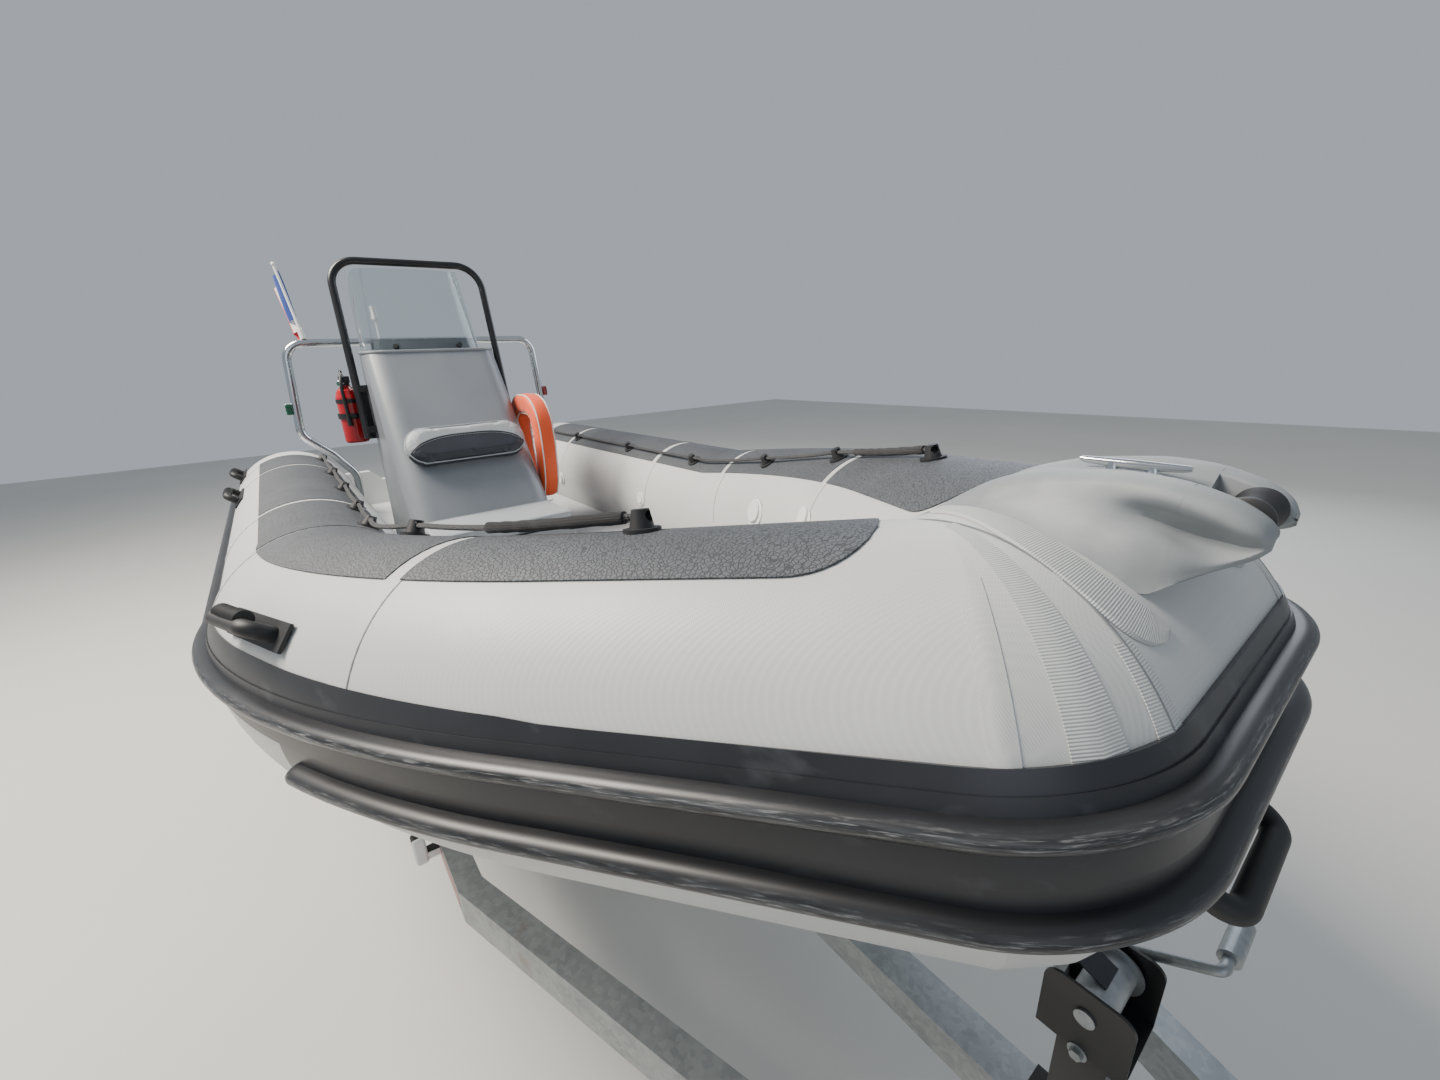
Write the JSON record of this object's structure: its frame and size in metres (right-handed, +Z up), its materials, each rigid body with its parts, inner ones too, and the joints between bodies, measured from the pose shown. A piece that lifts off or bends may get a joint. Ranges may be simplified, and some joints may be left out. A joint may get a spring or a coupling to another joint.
{
  "type": "inflatable rib boat on trailer",
  "caption": "Rigid inflatable boat with steering console, stern arch and outboard engine, standing on a single-axle road trailer with jockey wheel.",
  "frame": {"origin": "on the ground, under the middle of the part's length and width", "axes": "+X forward towards the bow and the coupling, +Y to port, +Z up"},
  "size_m": [5.984, 2.1818, 2.3606],
  "materials": {
    "pvc_grey": "coated woven fabric, satin",
    "rubber_black": "scuffed gloss",
    "pad_grey": "embossed matt",
    "gelcoat_white": "gloss, chalked",
    "gelcoat_grey": "gloss, chalked",
    "antislip": "speckled anti-slip",
    "moulding_grey": "weathered",
    "stainless": "polished",
    "black_plastic": "matt",
    "rope_black": "braided",
    "clear_screen": "clear acrylic",
    "cushion": "coated upholstery",
    "black_tube": "gloss black",
    "white_plastic": "gloss",
    "ensign_cloth": "woven bunting",
    "red_paint": "gloss red",
    "orange_cover": "coated fabric",
    "engine_paint": "gloss dark grey",
    "galvanised": "hot dip galvanised",
    "tyre": "matt",
    "wheel_silver": "silver paint",
    "bunk_carpet": "ribbed carpet over timber",
    "strap_webbing": "woven webbing",
    "lamp": "lens in black housing",
    "propeller_paint": "painted aluminium"
  },
  "bodies": {
    "boat_on_trailer": {"tube_starboard": "pvc_grey", "tube_port": "pvc_grey", "tube_bow": "pvc_grey", "rub_strakes": "rubber_black", "wear_pads": "pad_grey", "hull": "gelcoat_white", "deck": "antislip", "transom": "gelcoat_white", "bow_locker": "gelcoat_white", "bow_step": "moulding_grey", "steel_fittings": "stainless", "lifeline_starboard": "rope_black", "lifeline_port": "rope_black", "rubber_fittings": "rubber_black", "carry_handles": "rubber_black", "console": "gelcoat_grey", "front_cushions": "cushion", "console_rail": "black_tube", "windscreen": "clear_screen", "seat_boxes": "gelcoat_grey", "helm_cushions": "cushion", "stern_arch": "stainless", "arch_fittings": "white_plastic", "flag_staff": "white_plastic", "ensign": "ensign_cloth", "fire_extinguisher": "red_paint", "console_fittings": "black_plastic", "lifebuoy": "orange_cover", "engine_clamp": "engine_paint", "side_beams": "galvanised", "keel_beam": "galvanised", "cross_members": "galvanised", "suspension_arms": "galvanised", "mudguards": "galvanised", "keel_rollers": "rubber_black", "bunks": "bunk_carpet", "trailer_supports": "galvanised", "winch_post": "black_tube", "winch": "galvanised", "winch_strap": "strap_webbing", "coupling_head": "galvanised", "jockey_tube": "galvanised", "trailer_lamps": "lamp"},
    "wheel_port": {"tyre_port": "tyre", "wheel_rim_port": "wheel_silver"},
    "wheel_starboard": {"tyre_starboard": "tyre", "wheel_rim_starboard": "wheel_silver"},
    "jockey_stem": {"jockey_stem": "galvanised"},
    "jockey_fork": {"jockey_fork": "galvanised"},
    "jockey_wheel": {"jockey_wheel": "rubber_black"},
    "engine_swivel": {"engine_swivel": "engine_paint"},
    "engine": {"engine_cowl": "engine_paint", "engine_leg": "engine_paint"},
    "propeller": {"propeller": "propeller_paint"},
    "steering_wheel": {"steering_wheel": "black_plastic"},
    "bow_roller": {"bow_roller": "rubber_black"},
    "bow_locker_lid": {"bow_locker_lid": "gelcoat_white"}
  },
  "joints": [
    {"name": "wheel_port_turn", "type": "hinge", "parent": "boat_on_trailer", "child": "wheel_port", "pos_m": [-1.342, 0.85, 0.298], "axis": [0, 1, 0], "continuous": true},
    {"name": "wheel_starboard_turn", "type": "hinge", "parent": "boat_on_trailer", "child": "wheel_starboard", "pos_m": [-1.342, -0.85, 0.298], "axis": [0, 1, 0], "continuous": true},
    {"name": "jockey_lift", "type": "slide", "parent": "boat_on_trailer", "child": "jockey_stem", "axis": [0, 0, 1], "range_m": [0, 0.16]},
    {"name": "jockey_castor", "type": "hinge", "parent": "jockey_stem", "child": "jockey_fork", "pos_m": [2.568, 0.085, 0.24], "axis": [0, 0, 1], "continuous": true},
    {"name": "jockey_roll", "type": "hinge", "parent": "jockey_fork", "child": "jockey_wheel", "pos_m": [2.523, 0.085, 0.1], "axis": [0, 1, 0], "continuous": true},
    {"name": "engine_tilt", "type": "hinge", "parent": "boat_on_trailer", "child": "engine_swivel", "pos_m": [-2.462, 0, 1.165], "axis": [0, 1, 0], "range_deg": [0, 62]},
    {"name": "engine_steer", "type": "hinge", "parent": "engine_swivel", "child": "engine", "pos_m": [-2.542, 0, 1], "axis": [0, 0, 1], "range_deg": [-35, 35]},
    {"name": "propeller_turn", "type": "hinge", "parent": "engine", "child": "propeller", "pos_m": [-2.897, 0, 0.545], "axis": [1, 0, 0], "continuous": true},
    {"name": "steering_wheel_turn", "type": "hinge", "parent": "boat_on_trailer", "child": "steering_wheel", "pos_m": [-1.417, -0.146, 1.56], "axis": [0.9397, 0, -0.342], "range_deg": [-540, 540]},
    {"name": "bow_roller_turn", "type": "hinge", "parent": "boat_on_trailer", "child": "bow_roller", "pos_m": [1.766, 0, 1.617], "axis": [0, 1, 0], "continuous": true},
    {"name": "locker_lid_open", "type": "hinge", "parent": "boat_on_trailer", "child": "bow_locker_lid", "pos_m": [0.939, 0, 1.161], "axis": [0, 1, 0], "range_deg": [0, 80]}
  ],
  "couplings": [
    {"joint": "steering_wheel_turn", "follows": "engine_steer", "ratio": 15.428}
  ]
}
